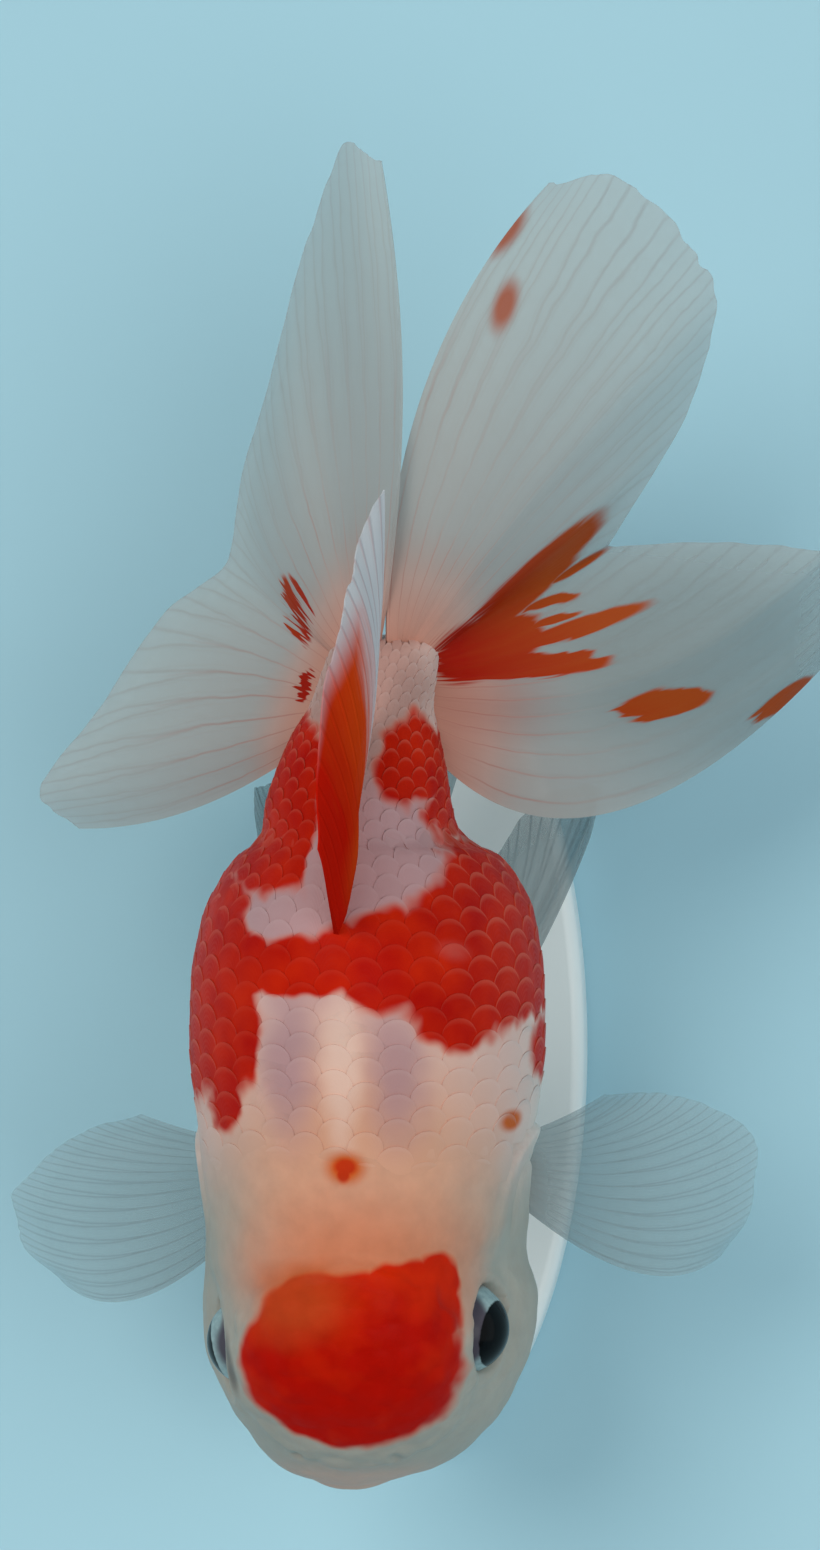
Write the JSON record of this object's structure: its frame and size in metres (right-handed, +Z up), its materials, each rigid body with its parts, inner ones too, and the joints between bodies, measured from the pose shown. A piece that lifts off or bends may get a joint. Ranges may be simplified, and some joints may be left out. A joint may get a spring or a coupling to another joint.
{
  "type": "goldfish",
  "caption": "Hooded, twin-tailed fancy goldfish swimming with its fins spread, egg-shaped body in red and white, held above a plain oval base on short rods.",
  "frame": {"origin": "centre of the underside of the stand's base", "axes": "+Z up; the head points along -Y and the tail along +Y; the fish's left side is +X"},
  "size_m": [0.0858, 0.1345, 0.0896],
  "materials": {
    "pale_skin": "wet, smooth pearl white skin of the face and gill covers",
    "red_skin": "wet, finely pebbled orange-red cap",
    "pearl_and_red_scales": "overlapping scales, pearly white with deep red patches, wet gloss",
    "eye": "clear wet cornea over a pale ring and a black pupil",
    "red_fin": "thin rayed membrane, deep red in front fading to white behind",
    "fin_membrane": "thin translucent white membrane with fine rays and a ragged edge",
    "stand_lacquer": "satin white lacquer",
    "stand_steel": "fine brushed steel"
  },
  "bodies": {
    "root": {"head": "pale_skin", "hood": "red_skin", "upper_lip": "pale_skin", "lower_lip": "pale_skin", "gill_cover_left": "pale_skin", "gill_cover_right": "pale_skin", "trunk": "pearl_and_red_scales", "tail_stem": "pearl_and_red_scales", "eye_left": "eye", "eye_right": "eye", "dorsal_fin": "red_fin", "tail_fin_upper_left": "fin_membrane", "tail_fin_upper_right": "fin_membrane", "tail_fin_lower_left": "fin_membrane", "tail_fin_lower_right": "fin_membrane", "pectoral_fin_left": "fin_membrane", "pectoral_fin_right": "fin_membrane", "pelvic_fin_left": "fin_membrane", "pelvic_fin_right": "fin_membrane", "anal_fin_left": "fin_membrane", "anal_fin_right": "fin_membrane", "stand_base": "stand_lacquer", "stand_rod_front": "stand_steel", "stand_rod_rear": "stand_steel"}
  },
  "joints": []
}
